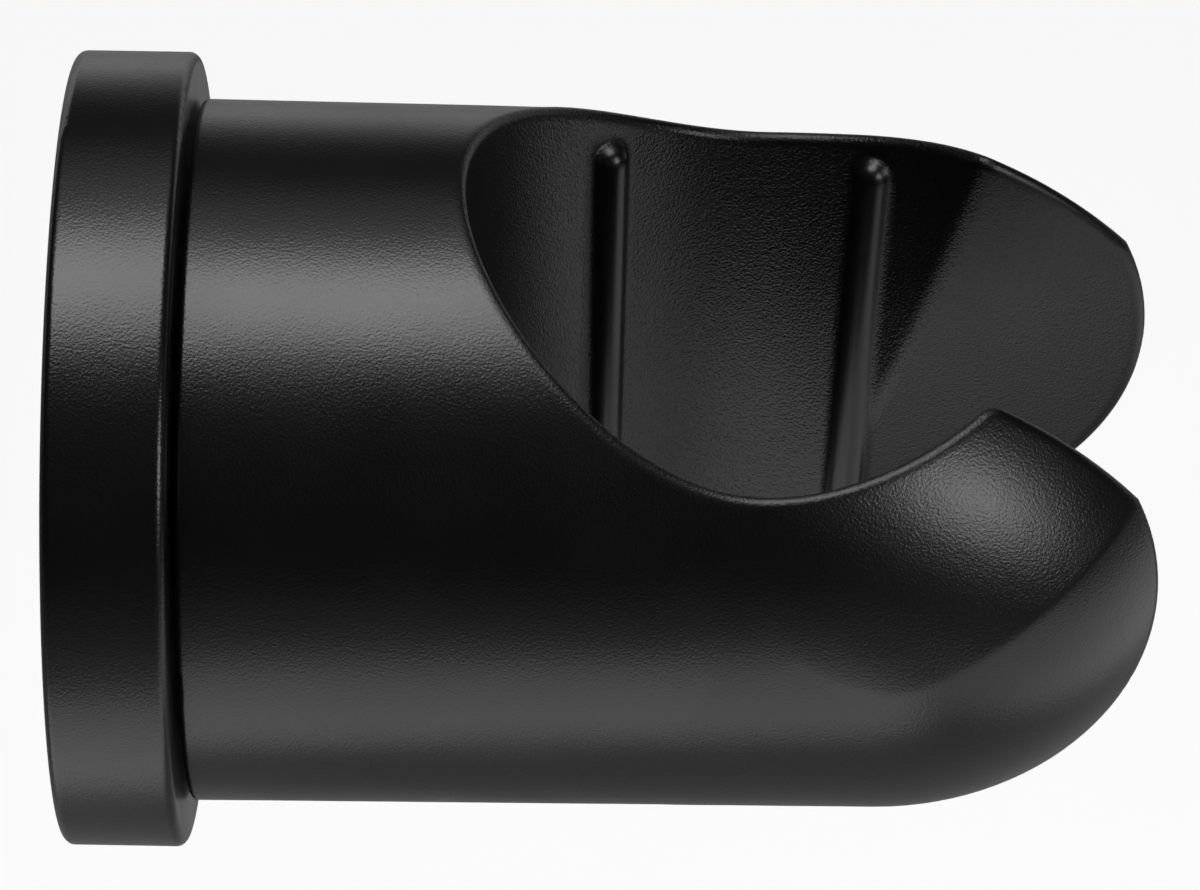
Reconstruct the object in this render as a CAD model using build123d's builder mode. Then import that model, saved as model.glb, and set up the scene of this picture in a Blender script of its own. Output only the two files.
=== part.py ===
"""Hand shower holder: a wall flange, a forked holder that turns on it, and the swivel between the two.

The origin is the centre of the flange's back face, on the wall. X points out of the wall along the
holder and Z points up. All sizes are in millimetres and degrees.
"""

import os
from itertools import product
from math import cos, radians, sin, sqrt, tan

from build123d import *

# Wall flange
flange_diameter = 36.25
flange_thickness = 5.5
flange_edge_radius = 0.45
flange_wall = 2.4
wall_screw_spacing = 20.0
wall_screw_hole = 4.2
wall_screw_head = 7.0
wall_screw_boss = 8.6

# Hub on the flange, which the holder turns on
hub_diameter = 12.4
hub_length = 5.2
hub_chamfer = 0.4

# Outside of the holder
body_diameter = 32.0
body_draft = 0.4
body_wall = 2.4
joint_gap = 0.25
joint_edge_radius = 0.25
dome_centre = 36.6
relief_start = 31.1
relief_bend_radius = 10.8
relief_lift = 0.005

# Socket for the handset, and the slot that lets the hose in
socket_centre = 31.0
socket_radius = 11.78
socket_taper = 6.8
socket_lean = 2.3
slot_width = 18.5
slot_draft = 3.5
slot_corner_radius = 1.2
mouth_edge_radius = 0.3
rib_diameter = 1.75
rib_proud = 0.9
rib_below_rim = 2.0
rib_foot_depth = 0.6
rib_spacing = 11.8
rib_offset = -1.0
rib_draft = 1.2

# Swivel fastening
screw_diameter = 4.0
screw_reach = 10.0
screw_head_diameter = 7.2
screw_head_height = 1.6
screw_head_edge = 0.5
screw_drive_length = 4.0
screw_drive_width = 0.9
screw_drive_depth = 1.1
flat_washer_diameter = 7.8
flat_washer_thickness = 0.6
spring_washer_diameter = 6.8
spring_washer_thickness = 0.9
spring_washer_slit = 0.6
spring_washer_slant = 25.0
friction_washer_thickness = 0.5
insert_diameter = 5.8
insert_length = 7.0
insert_band = 1.6
insert_band_depth = 0.3
ring_section = 1.3
ring_set_back = 1.9
partition_thickness = 2.4
sleeve_wall = 1.5
cap_diameter = 10.0
cap_skirt_wall = 0.75
cap_skirt_length = 1.8
cap_head_gap = 0.25

# Clearances, and how far the cutting bodies reach beyond the holder
running_clearance = 0.06
seat_clearance = 0.03
hole_clearance = 0.15
cut_overlap = 1.6
barrel_overlap = 0.3

# Places along the holder, worked out from the sizes above
hub_end = flange_thickness + hub_length
partition_back = hub_end + friction_washer_thickness + seat_clearance
partition_front = partition_back + partition_thickness
flat_washer_back = partition_front + seat_clearance
spring_washer_back = flat_washer_back + flat_washer_thickness
screw_head_back = spring_washer_back + spring_washer_thickness
screw_head_front = screw_head_back + screw_head_height
cap_back = screw_head_front + cap_head_gap
body_back = flange_thickness + joint_gap
ring_centre = hub_end - ring_set_back

# Radii and other sizes that follow from the sizes above
screw_hole_radius = screw_diameter / 2 + hole_clearance
sleeve_radius = hub_diameter / 2 + running_clearance
boss_radius = sleeve_radius + sleeve_wall
pocket_radius = cap_diameter / 2 + seat_clearance
ring_radius = sleeve_radius - seat_clearance - ring_section / 2
groove_radius = ring_radius - ring_section / 2 - seat_clearance
body_slope = tan(radians(body_draft))
dome_radius = (body_diameter / 2 - (dome_centre - body_back) * body_slope) * cos(radians(body_draft))
cut_height = body_diameter + 2 * cut_overlap
slot_growth = cut_height * tan(radians(slot_draft))
socket_plane = Plane(
    origin=(socket_centre, 0, 0),
    x_dir=(cos(radians(socket_lean)), 0, -sin(radians(socket_lean))),
    z_dir=(sin(radians(socket_lean)), 0, cos(radians(socket_lean))),
)


def outside_radius(x):
    """Radius of the holder's drafted barrel at a place along it."""
    return body_diameter / 2 - (x - body_back) * body_slope


def socket_radius_at(height):
    """Radius of the socket at a height along its own axis."""
    return socket_radius + height * tan(radians(socket_taper))


def wall_ends(shift):
    """Heights at which the socket's wall comes out of the barrel, below and above, at a place across it."""
    slope = tan(radians(socket_taper))
    middle = -socket_radius * slope / (1 + slope**2)
    room = (body_diameter / 2) ** 2 + shift**2 - socket_radius**2
    reach = sqrt(middle**2 + room / (1 + slope**2))
    return middle - reach, middle + reach


def facing_out(x, y=0.0, z=0.0):
    """Plane across the holder's axis that faces away from the wall, for holes and round pieces."""
    return Plane(origin=(x, y, z), x_dir=(0, 1, 0), z_dir=(1, 0, 0))


# Wall flange with the hub on its front
with BuildPart() as wall_flange:
    with BuildSketch(facing_out(0)):
        Circle(flange_diameter / 2)
    extrude(amount=flange_thickness)
    fillet(wall_flange.edges().filter_by(GeomType.CIRCLE), radius=flange_edge_radius)
    with BuildSketch(facing_out(flange_thickness)):
        Circle(hub_diameter / 2)
    extrude(amount=hub_length)
    chamfer(wall_flange.edges().group_by(Axis.X)[-1], length=hub_chamfer)
    # The back is hollow between the rim, the core behind the hub and the two screw bosses.
    with BuildSketch(facing_out(0)):
        Circle(flange_diameter / 2 - flange_wall)
        Circle(hub_diameter / 2, mode=Mode.SUBTRACT)
        with Locations((0, wall_screw_spacing / 2), (0, -wall_screw_spacing / 2)):
            Circle(wall_screw_boss / 2, mode=Mode.SUBTRACT)
    extrude(amount=flange_thickness - flange_wall, mode=Mode.SUBTRACT)
    with Locations(
        facing_out(flange_thickness, z=wall_screw_spacing / 2),
        facing_out(flange_thickness, z=-wall_screw_spacing / 2),
    ):
        CounterSinkHole(wall_screw_hole / 2, wall_screw_head / 2)
    # Seat of the threaded insert, open at the back so that the screw's tip has room
    with Locations(facing_out(hub_end)):
        CounterBoreHole(screw_hole_radius, insert_diameter / 2 + seat_clearance, insert_length)
    # Groove for the rubber ring
    with BuildSketch(Plane.XZ):
        with Locations((ring_centre, hub_diameter / 2)):
            Rectangle(ring_section + 2 * hole_clearance, hub_diameter - 2 * groove_radius)
    revolve(axis=Axis.X, mode=Mode.SUBTRACT)
wall_flange.part.label = "wall_flange"

# The space that the handset and its hose use: a leaning tapered socket with a slot out of the free end
with BuildPart() as socket_space:
    with BuildSketch(socket_plane.offset(-cut_height / 2)):
        Circle(socket_radius_at(-cut_height / 2))
    extrude(amount=cut_height, taper=-socket_taper)
    # The slot widens downwards: it is drawn at its top, and its inner end meets the axis at the bottom.
    with BuildSketch(socket_plane.offset(cut_height / 2)):
        with Locations((body_diameter + slot_growth, 0)):
            Rectangle(2 * body_diameter, slot_width - slot_growth)
    extrude(amount=-cut_height, taper=-slot_draft)
    # The cut ends just outside the barrel, before the widening slot is as wide as the narrowing socket.
    with BuildSketch(facing_out(0)):
        Circle(body_diameter / 2 + barrel_overlap)
    extrude(amount=4 * body_diameter, mode=Mode.INTERSECT)
    corners = socket_space.edges().filter_by(
        lambda edge: edge.length > body_diameter / 2 and 0 < edge.center().X - socket_centre < socket_radius
    )
    fillet(corners, radius=slot_corner_radius)

# Four ribs that stand on the socket's wall and grip the handset's cone
with BuildPart() as socket_ribs:
    for along, side in product((-1, 1), (-1, 1)):
        middle = rib_offset + along * rib_spacing / 2
        bottom, top = wall_ends(middle)
        ends = []
        for height in (bottom, top - rib_below_rim - rib_diameter / 2):
            shift = middle + along * height * tan(radians(rib_draft))
            wall = sqrt(socket_radius_at(height) ** 2 - shift**2)
            ends.append(socket_plane.from_local_coords((shift, side * (wall - rib_proud + rib_diameter / 2), height)))
        foot, head = ends
        with BuildSketch(Plane(origin=foot, z_dir=head - foot)):
            Circle(rib_diameter / 2)
        extrude(amount=(head - foot).length)
        with Locations(head):
            Sphere(rib_diameter / 2)
    # The feet end a little inside the barrel's outer face.
    with BuildSketch(facing_out(0)):
        Circle(body_diameter / 2 - rib_foot_depth)
    extrude(amount=2 * body_diameter, mode=Mode.INTERSECT)

# Hollow of the holder's back, which leaves an even wall round the outside, the socket and the sleeve
with BuildPart() as back_space:
    with BuildSketch(Plane.XZ):
        with BuildLine():
            Polyline(
                (body_back, boss_radius),
                (body_back, outside_radius(body_back) - body_wall),
                (socket_centre, outside_radius(socket_centre) - body_wall),
                (socket_centre, boss_radius),
                close=True,
            )
        make_face()
    revolve(axis=Axis.X)
    with BuildSketch(socket_plane.offset(-cut_height / 2)):
        Circle(socket_radius_at(-cut_height / 2) + body_wall)
    extrude(amount=cut_height, taper=-socket_taper, mode=Mode.SUBTRACT)

# Forked holder
with BuildPart() as holder_body:
    # Drafted barrel with a round end, drawn on its underside so that the seam lies in the slot
    with BuildSketch(Plane.XZ):
        with BuildLine():
            Line(
                (body_back, -body_diameter / 2),
                (dome_centre + dome_radius * sin(radians(body_draft)), -dome_radius * cos(radians(body_draft))),
            )
            CenterArc((dome_centre, 0), dome_radius, 270 + body_draft, 90 - body_draft)
            Polyline((dome_centre + dome_radius, 0), (body_back, 0), (body_back, -body_diameter / 2))
        make_face()
    revolve(axis=Axis.X)
    fillet(holder_body.edges().group_by(Axis.X)[0], radius=joint_edge_radius)
    # Relief over the fork: from here on the top bends down like an elbow, a hair wider than the barrel
    # so that the two surfaces cross and don't only touch
    with BuildSketch(facing_out(relief_start)):
        with Locations((0, body_diameter / 2)):
            Rectangle(2 * body_diameter, body_diameter)
        Circle(outside_radius(relief_start) + relief_lift, mode=Mode.SUBTRACT)
    revolve(
        axis=Axis((relief_start, 0, -relief_bend_radius), (0, 1, 0)), revolution_arc=90, mode=Mode.SUBTRACT
    )
    # Socket and slot, with every edge of their mouth rounded, and then the ribs
    add(socket_space.part, mode=Mode.SUBTRACT)
    mouth = holder_body.edges(Select.NEW).filter_by(
        lambda edge: all(own.distance_to(edge @ 0.5) > seat_clearance for own in socket_space.edges())
    )
    fillet(mouth, radius=mouth_edge_radius)
    add(socket_ribs.part)
    add(back_space.part, mode=Mode.SUBTRACT)
    # Sleeve that runs on the hub, hole for the screw, and the pocket under the cap
    with BuildSketch(facing_out(body_back)):
        Circle(sleeve_radius)
    extrude(amount=partition_back - body_back, mode=Mode.SUBTRACT)
    with BuildSketch(facing_out(partition_front)):
        Circle(pocket_radius)
    extrude(amount=socket_centre - partition_front, mode=Mode.SUBTRACT)
    with Locations(facing_out(partition_front)):
        Hole(screw_hole_radius, partition_thickness)
holder_body.part.label = "holder_body"

# Pivot screw with a low round head and a cross recess
with BuildPart() as pivot_screw:
    with BuildSketch(facing_out(screw_head_back)):
        Circle(screw_head_diameter / 2)
    extrude(amount=screw_head_height)
    fillet(pivot_screw.edges().group_by(Axis.X)[-1], radius=screw_head_edge)
    with BuildSketch(facing_out(screw_head_back)):
        Circle(screw_diameter / 2)
    extrude(amount=-screw_reach)
    chamfer(pivot_screw.edges().group_by(Axis.X)[0], length=hub_chamfer)
    with BuildSketch(facing_out(screw_head_front)):
        Rectangle(screw_drive_length, screw_drive_width)
        Rectangle(screw_drive_width, screw_drive_length)
    extrude(amount=-screw_drive_depth, mode=Mode.SUBTRACT)
pivot_screw.part.label = "pivot_screw"

# Flat washer that the holder turns under
with BuildPart() as flat_washer:
    with BuildSketch(facing_out(flat_washer_back)):
        Circle(flat_washer_diameter / 2)
        Circle(screw_hole_radius, mode=Mode.SUBTRACT)
    extrude(amount=flat_washer_thickness)
flat_washer.part.label = "flat_washer"

# Split spring washer that keeps the friction up
with BuildPart() as spring_washer:
    with BuildSketch(facing_out(spring_washer_back)):
        Circle(spring_washer_diameter / 2)
        Circle(screw_hole_radius, mode=Mode.SUBTRACT)
    extrude(amount=spring_washer_thickness)
    with Locations(
        Location(
            (spring_washer_back + spring_washer_thickness / 2, 0, spring_washer_diameter / 2),
            (0, 0, spring_washer_slant),
        )
    ):
        Box(
            2 * spring_washer_diameter, spring_washer_slit, spring_washer_diameter, mode=Mode.SUBTRACT
        )
spring_washer.part.label = "spring_washer"

# Friction washer between the hub and the holder's partition
with BuildPart() as friction_washer:
    with BuildSketch(facing_out(hub_end)):
        Circle(hub_diameter / 2 - hub_chamfer)
        Circle(screw_hole_radius, mode=Mode.SUBTRACT)
    extrude(amount=friction_washer_thickness)
friction_washer.part.label = "friction_washer"

# Threaded insert pressed into the hub, with a waist between its two gripping bands
with BuildPart() as threaded_insert:
    with BuildSketch(facing_out(hub_end)):
        Circle(insert_diameter / 2)
    extrude(amount=-insert_length)
    with BuildSketch(facing_out(hub_end - insert_band)):
        Circle(insert_diameter / 2)
        Circle(insert_diameter / 2 - insert_band_depth, mode=Mode.SUBTRACT)
    extrude(amount=2 * insert_band - insert_length, mode=Mode.SUBTRACT)
    with Locations(facing_out(hub_end)):
        Hole(screw_diameter / 2 + seat_clearance)
threaded_insert.part.label = "threaded_insert"

# Rubber ring on the hub, which steadies the holder and damps its turning
with BuildPart() as hub_ring:
    with BuildSketch(Plane.XZ):
        with Locations((ring_centre, ring_radius)):
            Circle(ring_section / 2)
    revolve(axis=Axis.X)
hub_ring.part.label = "hub_ring"

# Cap over the screw, flush with the socket's wall
with BuildPart() as screw_cap:
    with BuildSketch(facing_out(cap_back - cap_skirt_length)):
        Circle(cap_diameter / 2)
    extrude(amount=socket_centre - cap_back + cap_skirt_length)
    with BuildSketch(facing_out(cap_back - cap_skirt_length)):
        Circle(cap_diameter / 2 - cap_skirt_wall)
    extrude(amount=cap_skirt_length, mode=Mode.SUBTRACT)
    add(socket_space.part, mode=Mode.SUBTRACT)
screw_cap.part.label = "screw_cap"

os.makedirs("parts", exist_ok=True)
for piece in (
    wall_flange, holder_body, pivot_screw, flat_washer, spring_washer, friction_washer, threaded_insert, hub_ring,
    screw_cap,
):
    export_step(piece.part, f"parts/{piece.part.label}.step")
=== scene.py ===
"""Look of the hand shower holder: grained black plastic and a metal swivel, in a soft white studio."""

import math

import bpy
from mathutils import Matrix, Vector


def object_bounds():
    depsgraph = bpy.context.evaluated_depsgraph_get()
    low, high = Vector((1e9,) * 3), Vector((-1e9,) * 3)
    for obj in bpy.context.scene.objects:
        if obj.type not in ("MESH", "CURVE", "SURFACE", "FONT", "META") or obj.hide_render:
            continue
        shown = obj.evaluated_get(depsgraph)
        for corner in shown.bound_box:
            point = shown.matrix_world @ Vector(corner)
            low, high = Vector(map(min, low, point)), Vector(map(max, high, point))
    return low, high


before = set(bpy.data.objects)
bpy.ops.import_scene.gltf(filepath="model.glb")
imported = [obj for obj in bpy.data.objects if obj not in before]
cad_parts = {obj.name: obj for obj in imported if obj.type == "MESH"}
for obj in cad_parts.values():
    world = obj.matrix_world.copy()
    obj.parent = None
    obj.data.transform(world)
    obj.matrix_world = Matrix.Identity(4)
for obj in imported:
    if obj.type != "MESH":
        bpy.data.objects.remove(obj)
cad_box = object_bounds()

MM = 0.001

# Camera, fitted to the photograph, for an image of 1200 by 890 pixels
IMAGE_WIDTH = 1200
CAMERA_TARGET = Vector((25.0, 0.0, 0.0)) * MM
CAMERA_DISTANCE = 349.7 * MM
CAMERA_ELEVATION = math.radians(40.0)
CAMERA_YAW = math.radians(0.964)
CAMERA_ROLL = math.radians(0.331)
FOCAL_PIXELS = 7662.2
IMAGE_OFFSET_RIGHT = 21.2
IMAGE_OFFSET_DOWN = 11.3
SENSOR_WIDTH = 36.0
NEAREST_SEEN = 10.0 * MM
FARTHEST_SEEN = 10.0

# Lamps, which face the camera's target. The azimuth is in degrees from the front to the right, the
# elevation in degrees from the horizon, and distance, width and height are in metres. The brightness
# is the power per square metre, divided by pi.
LAMPS = {
    "key_softbox": {
        "azimuth": -70, "elevation": 83, "distance": 0.6,
        "width": 0.31, "height": 0.38, "brightness": 8.8,
    },
    "overhead_fill": {
        "azimuth": 180, "elevation": 68, "distance": 0.9,
        "width": 0.9, "height": 0.6, "brightness": 0.8,
    },
    "side_softbox": {
        "azimuth": 42, "elevation": 27, "distance": 0.6,
        "width": 0.2, "height": 0.2, "brightness": 12.5,
    },
    "front_card": {
        "azimuth": -20, "elevation": -42, "distance": 0.075,
        "width": 0.10, "height": 0.045, "brightness": 1.8,
    },
    "right_card": {
        "azimuth": 62, "elevation": -30, "distance": 0.085,
        "width": 0.13, "height": 0.045, "brightness": 1.1,
    },
}

# Floor, with distances in metres. Its glow rises away from the object, where the lamps light it less, and
# a gloss sees the glow only behind the object's middle, more and more towards the rear.
FLOOR_DROP = 55.0 * MM
FLOOR_REACH = 2.0
FLOOR_COLOUR = 0.3
FLOOR_GLOW = 0.66
GLOW_RISE_FROM = 0.12
GLOW_RISE_TO = 0.9
GLOSS_FLOOR_FROM = 0.0
GLOSS_FLOOR_TO = 1.0

# Surroundings: their brightness, and the upward and rearward parts of a direction between which
# it changes
SURROUND_WHITE = 0.98
SURROUND_DIM = 0.03
HORIZON_WHITE_TO = math.sin(math.radians(4.0))
HORIZON_DIM_FROM = math.sin(math.radians(14.0))
REAR_DIM_TO = -0.3
REAR_WHITE_FROM = 0.3

# Socket, as the part's source has it, and the distances off its wall between which the grain changes
SOCKET_CENTRE = 31.0 * MM
SOCKET_RADIUS = 11.78 * MM
SOCKET_SLOPE = math.tan(math.radians(6.8))
SOCKET_LEAN = math.radians(2.3)
OFF_WALL_FROM = 0.10 * MM
OFF_WALL_TO = 0.45 * MM

# Edges: crisp at the swivel's gap and rounder at the socket's mouth, by the place along the holder.
# Where the rounded normal agrees less with the surface's own, an edge is near.
CRISP_EDGES_TO = 8.0 * MM
SOFT_EDGES_FROM = 14.0 * MM
CRISP_EDGE = 0.15 * MM
SOFT_EDGE = 0.7 * MM
EDGE_SAMPLES = 14
EDGE_AGREES_TO = 0.80
OPEN_AGREES_FROM = 0.98

# Black plastic. The grain on the ribs and on the bore's wall is a multiple of the grain outside.
GRAIN_SCALE = 8500.0
GRAIN_DETAIL = 1.0
GRAIN_STRENGTH = 0.7
GRAIN_HEIGHT = 0.019 * MM
RIB_GRAIN = 0.4
BORE_GRAIN = 2.2
SATIN_SCALE = 160.0
SATIN_DETAIL = 2.0
SATIN_LEAST = 0.27
SATIN_MOST = 0.31
EDGE_POLISH = 0.06
PLASTIC_SHADE = 0.002
EDGE_SHADE = 0.004
PLASTIC_SPECULAR = 0.31

# Turned metal
STEEL = (0.62, 0.62, 0.63)
BRASS = (0.72, 0.55, 0.28)
RING_SCALE = 6000.0
RING_DETAIL = 2.0
RING_STRENGTH = 0.3
RING_HEIGHT = 0.01 * MM
METAL_PATCH_SCALE = 500.0
METAL_PATCH_DETAIL = 3.0
METAL_SMOOTHER = 0.06
METAL_ROUGHER = 0.08
METAL_DULL = 0.8

# Moulded washers and rings
WHITE_PLASTIC = (0.78, 0.77, 0.73)
RUBBER = (0.02, 0.02, 0.02)
MOULD_GRAIN_DETAIL = 2.0
MOULD_GRAIN_STRENGTH = 0.3
MOULD_GRAIN_HEIGHT = 0.03 * MM
MOULD_PATCH_SCALE = 350.0
MOULD_PATCH_DETAIL = 2.0
MOULD_UNEVEN = 0.05
MOULD_DULL = 0.85

# Range that a noise mostly stays in
NOISE_LOW = 0.3
NOISE_HIGH = 0.7

# Places of the colour sockets on Blender's Mix node
MIX_SHARE = 0
MIX_FIRST = 6
MIX_SECOND = 7
MIX_RESULT = 2


class Graph:
    """Node tree of a material or world, filled from code."""

    def __init__(self, owner):
        owner.use_nodes = True
        self.tree = owner.node_tree
        self.tree.nodes.clear()

    def add(self, kind, inputs, **settings):
        """New node, with each input either linked to an output or set to a value."""
        node = self.tree.nodes.new("ShaderNode" + kind)
        for name, value in settings.items():
            setattr(node, name, value)
        for name, value in inputs.items():
            if isinstance(value, bpy.types.NodeSocket):
                self.tree.links.new(value, node.inputs[name])
            else:
                node.inputs[name].default_value = value
        return node

    def math(self, operation, first, second=0.0):
        return self.add("Math", {0: first, 1: second}, operation=operation).outputs[0]

    def scaled(self, value, factor, start):
        """The value times a factor, plus a start."""
        return self.math("ADD", self.math("MULTIPLY", value, factor), start)

    def ramp(self, value, low, high, at_low, at_high):
        """Value that goes smoothly from one level to another while the given value crosses a range."""
        inputs = {"Value": value, "From Min": low, "From Max": high, "To Min": at_low, "To Max": at_high}
        return self.add("MapRange", inputs, interpolation_type="SMOOTHSTEP").outputs["Result"]

    def noise(self, place, scale, detail):
        inputs = {"Vector": place, "Scale": scale, "Detail": detail}
        return self.add("TexNoise", inputs).outputs["Fac"]

    def place(self):
        """Place on the object, in metres, which moves with it."""
        return self.add("TexCoord", {}).outputs["Object"]

    def split(self, vector):
        return self.add("SeparateXYZ", {"Vector": vector}).outputs

    def join(self, **parts):
        return self.add("CombineXYZ", parts).outputs["Vector"]

    def offset(self, place, start):
        return self.add("VectorMath", {0: place, 1: start}, operation="SUBTRACT").outputs["Vector"]

    def length(self, vector):
        return self.add("VectorMath", {0: vector}, operation="LENGTH").outputs["Value"]

    def bump(self, height, strength, distance, **inputs):
        inputs.update({"Height": height, "Strength": strength, "Distance": distance})
        return self.add("Bump", inputs).outputs["Normal"]

    def uneven(self, colour, dull, share):
        """Colour that is darker by a factor where the share is 0, and full where it is 1."""
        darker = tuple(dull * level for level in colour)
        inputs = {MIX_SHARE: share, MIX_FIRST: (*darker, 1.0), MIX_SECOND: (*colour, 1.0)}
        return self.add("Mix", inputs, data_type="RGBA").outputs[MIX_RESULT]

    def seen(self, in_gloss):
        """1 for a ray from the camera, and the given share for one that a gloss or glass has turned."""
        path = self.add("LightPath", {}).outputs
        turned = self.math("MAXIMUM", path["Is Glossy Ray"], path["Is Transmission Ray"])
        return self.math("MAXIMUM", path["Is Camera Ray"], self.math("MULTIPLY", turned, in_gloss))

    def principled(self, inputs):
        """End the material in a principled shader with these inputs."""
        shader = self.add("BsdfPrincipled", inputs).outputs["BSDF"]
        self.add("OutputMaterial", {"Surface": shader})


def camera_axes():
    """Right, up and backward directions of the camera, in the object's frame."""
    back = Vector((
        math.sin(CAMERA_YAW) * math.cos(CAMERA_ELEVATION),
        -math.cos(CAMERA_YAW) * math.cos(CAMERA_ELEVATION),
        math.sin(CAMERA_ELEVATION),
    ))
    level = Vector((math.cos(CAMERA_YAW), math.sin(CAMERA_YAW), 0.0))
    upright = back.cross(level)
    right = level * math.cos(CAMERA_ROLL) + upright * math.sin(CAMERA_ROLL)
    up = upright * math.cos(CAMERA_ROLL) - level * math.sin(CAMERA_ROLL)
    return right, up, back


def facing_matrix(right, up, back, place):
    """Matrix of something that looks along its own -Z, placed and turned as given."""
    turn = Matrix((right, up, back)).transposed().to_4x4()
    return Matrix.Translation(place) @ turn


def make_camera():
    right, up, back = camera_axes()
    data = bpy.data.cameras.new("camera")
    data.sensor_fit = "HORIZONTAL"
    data.sensor_width = SENSOR_WIDTH
    data.lens = SENSOR_WIDTH * FOCAL_PIXELS / IMAGE_WIDTH
    data.shift_x = -IMAGE_OFFSET_RIGHT / IMAGE_WIDTH
    data.shift_y = IMAGE_OFFSET_DOWN / IMAGE_WIDTH
    data.clip_start = NEAREST_SEEN
    data.clip_end = FARTHEST_SEEN
    camera = bpy.data.objects.new("camera", data)
    camera.matrix_world = facing_matrix(right, up, back, CAMERA_TARGET + back * CAMERA_DISTANCE)
    bpy.context.scene.collection.objects.link(camera)
    bpy.context.scene.camera = camera


def make_lamp(name, azimuth, elevation, distance, width, height, brightness):
    """Rectangular soft lamp, or a card that throws light back, facing the camera's target."""
    turn = math.radians(azimuth)
    rise = math.radians(elevation)
    out = Vector((math.sin(turn) * math.cos(rise), -math.cos(turn) * math.cos(rise), math.sin(rise)))
    side = Vector((math.cos(turn), math.sin(turn), 0.0))
    data = bpy.data.lights.new(name, "AREA")
    data.shape = "RECTANGLE"
    data.size = width
    data.size_y = height
    data.energy = brightness * math.pi * width * height
    lamp = bpy.data.objects.new(name, data)
    lamp.matrix_world = facing_matrix(side, out.cross(side), out, CAMERA_TARGET + out * distance)
    lamp.visible_camera = False
    bpy.context.scene.collection.objects.link(lamp)


def make_floor():
    """Pale floor that takes the object's shadow, made white by a glow for the camera and the gloss."""
    level = cad_box[0].z - FLOOR_DROP
    outline = [(-1, -1), (1, -1), (1, 1), (-1, 1)]
    corners = [(FLOOR_REACH * across, FLOOR_REACH * deep, level) for across, deep in outline]
    mesh = bpy.data.meshes.new("floor")
    mesh.from_pydata(corners, [], [(0, 1, 2, 3)])
    floor = bpy.data.objects.new("floor", mesh)
    bpy.context.scene.collection.objects.link(floor)
    material = bpy.data.materials.new("floor")
    graph = Graph(material)
    place = graph.place()
    distance = graph.length(graph.offset(place, (CAMERA_TARGET.x, 0.0, level)))
    white = graph.ramp(distance, GLOW_RISE_FROM, GLOW_RISE_TO, FLOOR_GLOW, SURROUND_WHITE)
    in_gloss = graph.ramp(graph.split(place)["Y"], GLOSS_FLOOR_FROM, GLOSS_FLOOR_TO, 0.0, 1.0)
    strength = graph.math("MULTIPLY", white, graph.seen(in_gloss))
    glow = graph.add("Emission", {"Strength": strength}).outputs["Emission"]
    colour = (FLOOR_COLOUR, FLOOR_COLOUR, FLOOR_COLOUR, 1.0)
    lit = graph.add("BsdfDiffuse", {"Color": colour}).outputs["BSDF"]
    both = graph.add("AddShader", {0: glow, 1: lit}).outputs["Shader"]
    graph.add("OutputMaterial", {"Surface": both})
    mesh.materials.append(material)


def make_world():
    """White to the camera. In a gloss it is white low down behind the object and dim elsewhere."""
    world = bpy.data.worlds.new("studio")
    bpy.context.scene.world = world
    graph = Graph(world)
    direction = graph.split(graph.add("TexCoord", {}).outputs["Generated"])
    low = graph.ramp(direction["Z"], HORIZON_WHITE_TO, HORIZON_DIM_FROM, 1.0, 0.0)
    behind = graph.ramp(direction["Y"], REAR_DIM_TO, REAR_WHITE_FROM, 0.0, 1.0)
    white = graph.seen(graph.math("MULTIPLY", low, behind))
    strength = graph.scaled(white, SURROUND_WHITE - SURROUND_DIM, SURROUND_DIM)
    background = graph.add("Background", {"Strength": strength}).outputs["Background"]
    graph.add("OutputWorld", {"Surface": background})


def grain_depth(graph, place):
    """Depth of the grain: 1 outside, deeper on the socket's tapered wall, and slight on the ribs."""
    moved = graph.offset(place, (SOCKET_CENTRE, 0.0, 0.0))
    lean = {"Vector": moved, "Angle": -SOCKET_LEAN}
    parts = graph.split(graph.add("VectorRotate", lean, rotation_type="Y_AXIS").outputs["Vector"])
    distance = graph.length(graph.join(X=parts["X"], Y=parts["Y"]))
    wall = graph.scaled(parts["Z"], SOCKET_SLOPE, SOCKET_RADIUS)
    proud = graph.math("SUBTRACT", wall, distance)
    ribs = graph.ramp(proud, OFF_WALL_FROM, OFF_WALL_TO, 0.0, RIB_GRAIN - 1.0)
    off_wall = graph.math("ABSOLUTE", proud)
    bore = graph.ramp(off_wall, OFF_WALL_FROM, OFF_WALL_TO, BORE_GRAIN - 1.0, 0.0)
    return graph.math("ADD", graph.math("ADD", ribs, bore), 1.0)


def rounded_normal(graph, place):
    """Normal that turns smoothly across the edges."""
    along = graph.split(place)["X"]
    radius = graph.ramp(along, CRISP_EDGES_TO, SOFT_EDGES_FROM, CRISP_EDGE, SOFT_EDGE)
    return graph.add("Bevel", {"Radius": radius}, samples=EDGE_SAMPLES).outputs["Normal"]


def edge_share(graph, rounded):
    """1 beside sharp edges, where the rounded normal leaves the surface's own, and 0 on open faces."""
    own = graph.add("NewGeometry", {}).outputs["Normal"]
    agree = graph.add("VectorMath", {0: rounded, 1: own}, operation="DOT_PRODUCT").outputs["Value"]
    return graph.ramp(agree, EDGE_AGREES_TO, OPEN_AGREES_FROM, 1.0, 0.0)


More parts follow.
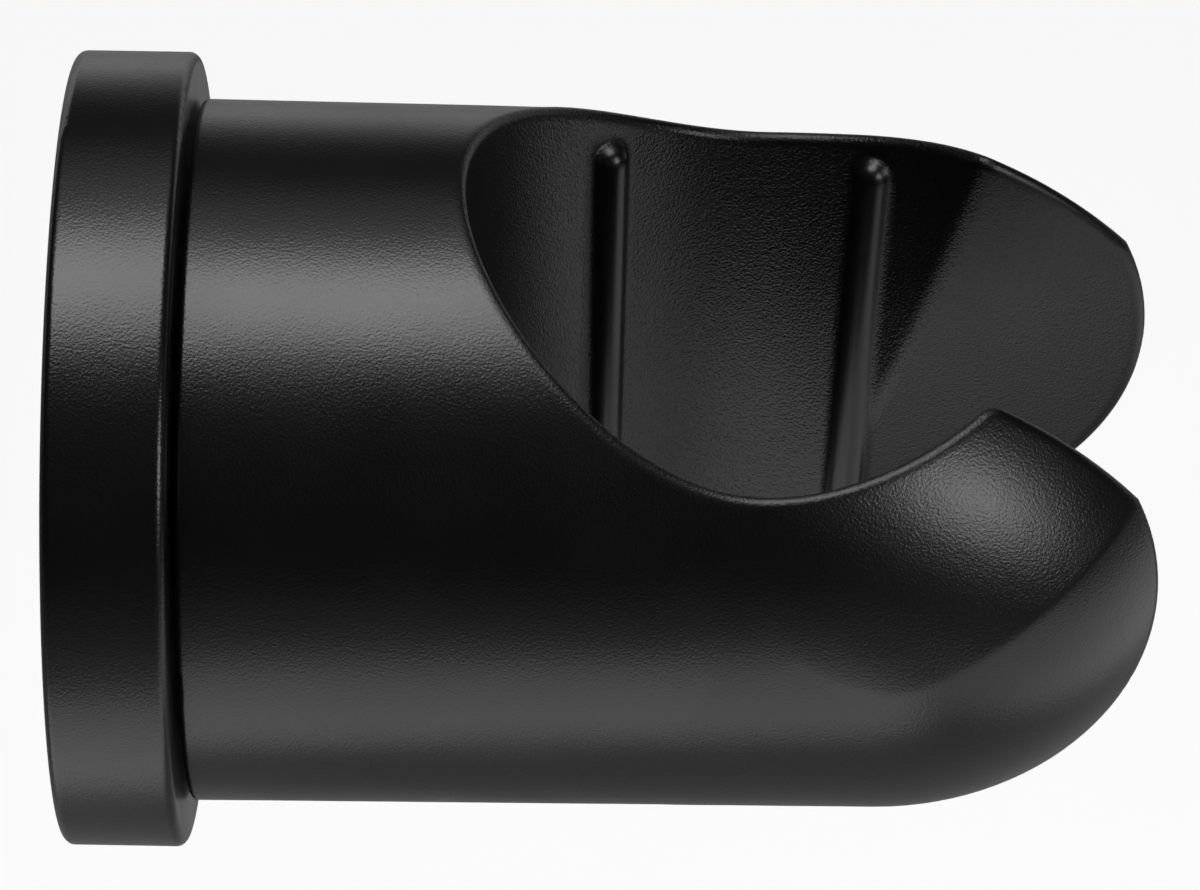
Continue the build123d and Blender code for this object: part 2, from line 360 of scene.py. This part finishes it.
def make_black_plastic():
    """Near-black satin plastic with a fine moulded grain, a little smoother and paler at the edges."""
    material = bpy.data.materials.new("black_plastic")
    graph = Graph(material)
    place = graph.place()
    rounded = rounded_normal(graph, place)
    edges = edge_share(graph, rounded)
    grain = graph.noise(place, GRAIN_SCALE, GRAIN_DETAIL)
    height = graph.math("MULTIPLY", grain, grain_depth(graph, place))
    patches = graph.noise(place, SATIN_SCALE, SATIN_DETAIL)
    satin = graph.ramp(patches, NOISE_LOW, NOISE_HIGH, SATIN_LEAST, SATIN_MOST)
    shade = graph.scaled(edges, EDGE_SHADE, PLASTIC_SHADE)
    colour = graph.add("CombineColor", {"Red": shade, "Green": shade, "Blue": shade}).outputs["Color"]
    graph.principled({
        "Base Color": colour,
        "Roughness": graph.math("SUBTRACT", satin, graph.math("MULTIPLY", edges, EDGE_POLISH)),
        "Specular IOR Level": PLASTIC_SPECULAR,
        "Normal": graph.bump(height, GRAIN_STRENGTH, GRAIN_HEIGHT, Normal=rounded),
    })
    return material


def make_turned_metal(name, colour, roughness):
    """Metal turned on a lathe, with fine rings about the swivel's axis."""
    material = bpy.data.materials.new(name)
    graph = Graph(material)
    place = graph.place()
    parts = graph.split(place)
    radius = graph.length(graph.join(Y=parts["Y"], Z=parts["Z"]))
    rings = graph.noise(graph.join(X=parts["X"], Y=radius), RING_SCALE, RING_DETAIL)
    patches = graph.noise(place, METAL_PATCH_SCALE, METAL_PATCH_DETAIL)
    smoothest = roughness - METAL_SMOOTHER
    roughest = roughness + METAL_ROUGHER
    graph.principled({
        "Base Color": graph.uneven(colour, METAL_DULL, rings),
        "Metallic": 1.0,
        "Roughness": graph.ramp(patches, NOISE_LOW, NOISE_HIGH, smoothest, roughest),
        "Normal": graph.bump(rings, RING_STRENGTH, RING_HEIGHT),
    })
    return material


def make_plain_polymer(name, colour, roughness, grain_scale):
    """Moulded washer or ring, with a fine grain and slightly uneven colour."""
    material = bpy.data.materials.new(name)
    graph = Graph(material)
    place = graph.place()
    grain = graph.noise(place, grain_scale, MOULD_GRAIN_DETAIL)
    patches = graph.noise(place, MOULD_PATCH_SCALE, MOULD_PATCH_DETAIL)
    smoothest = roughness - MOULD_UNEVEN
    roughest = roughness + MOULD_UNEVEN
    graph.principled({
        "Base Color": graph.uneven(colour, MOULD_DULL, patches),
        "Roughness": graph.ramp(patches, NOISE_LOW, NOISE_HIGH, smoothest, roughest),
        "Normal": graph.bump(grain, MOULD_GRAIN_STRENGTH, MOULD_GRAIN_HEIGHT),
    })
    return material


def dress(material, nodes):
    """Give solids their finish."""
    for node in nodes:
        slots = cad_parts[node].data.materials
        slots.clear()
        slots.append(material)


black_plastic = make_black_plastic()
steel = make_turned_metal("steel", STEEL, roughness=0.28)
brass = make_turned_metal("brass", BRASS, roughness=0.30)
white_plastic = make_plain_polymer("white_plastic", WHITE_PLASTIC, roughness=0.42, grain_scale=3000.0)
rubber = make_plain_polymer("rubber", RUBBER, roughness=0.62, grain_scale=4000.0)
dress(black_plastic, ["wall_flange", "holder_body", "screw_cap"])
dress(steel, ["pivot_screw", "flat_washer", "spring_washer"])
dress(brass, ["threaded_insert"])
dress(white_plastic, ["friction_washer"])
dress(rubber, ["hub_ring"])

make_camera()
make_floor()
make_world()
for lamp_name, lamp_values in LAMPS.items():
    make_lamp(lamp_name, **lamp_values)
bpy.context.scene.view_settings.view_transform = "Standard"
